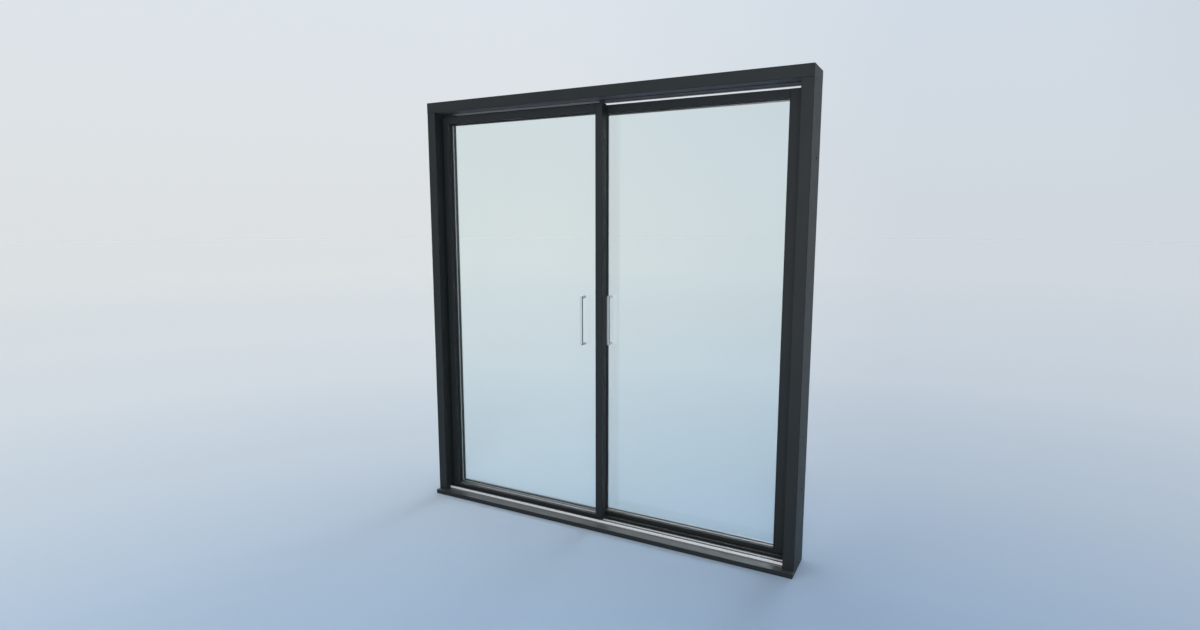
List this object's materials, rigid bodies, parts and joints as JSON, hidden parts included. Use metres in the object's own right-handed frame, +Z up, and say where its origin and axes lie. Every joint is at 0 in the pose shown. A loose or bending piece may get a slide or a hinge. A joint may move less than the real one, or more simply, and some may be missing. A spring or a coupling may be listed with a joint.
{
  "type": "sliding patio door",
  "caption": "Sliding patio door: anthracite frame, aluminium threshold track, and full-height double-glazed leaves with bar pull handles that slide past each other.",
  "frame": {"origin": "middle of the overall box, on the floor under the sill", "axes": "+X along the opening to the right, seen from the side of the sill's nose; +Y from the nose to the other side; +Z up"},
  "size_m": [1.946, 0.196, 2.1],
  "materials": {
    "anthracite": "fine-textured matt powder coat, anthracite grey",
    "sill_plate": "satin anodised, mid grey",
    "track_rail": "bright drawn",
    "glass": "clear float glass with a faint blue-green tint",
    "spacer": "mill finish",
    "seal": "matt black",
    "pile": "dense grey-black pile",
    "steel": "brushed along the bar",
    "nylon": "moulded nylon"
  },
  "bodies": {
    "frame": {"back_upstand": "sill_plate", "front_buffers": "seal", "front_track": "track_rail", "front_weather_bar": "sill_plate", "head": "anthracite", "left_jamb": "anthracite", "middle_upstand": "anthracite", "rear_buffers": "seal", "rear_track": "track_rail", "right_jamb": "anthracite", "sill": "anthracite", "threshold_plate": "sill_plate"},
    "front_leaf": {"front_bottom_rail": "anthracite", "front_edge_seal": "seal", "front_gaskets": "seal", "front_glazing_beads": "anthracite", "front_guide_shoes": "nylon", "front_handle": "steel", "front_inner_pane": "glass", "front_lock_stile": "anthracite", "front_meeting_stile": "anthracite", "front_outer_pane": "glass", "front_rollers": "nylon", "front_spacer": "spacer", "front_top_rail": "anthracite"},
    "rear_leaf": {"rear_bottom_rail": "anthracite", "rear_draught_strip": "pile", "rear_edge_seal": "seal", "rear_gaskets": "seal", "rear_glazing_beads": "anthracite", "rear_guide_shoes": "nylon", "rear_handle": "steel", "rear_inner_pane": "glass", "rear_lock_stile": "anthracite", "rear_meeting_stile": "anthracite", "rear_outer_pane": "glass", "rear_rollers": "nylon", "rear_spacer": "spacer", "rear_top_rail": "anthracite"}
  },
  "joints": [
    {"name": "front_leaf_slide", "type": "slide", "parent": "frame", "child": "front_leaf", "axis": [1, 0, 0], "range_m": [0, 0.88]},
    {"name": "rear_leaf_slide", "type": "slide", "parent": "frame", "child": "rear_leaf", "axis": [-1, 0, 0], "range_m": [0, 0.868]}
  ]
}
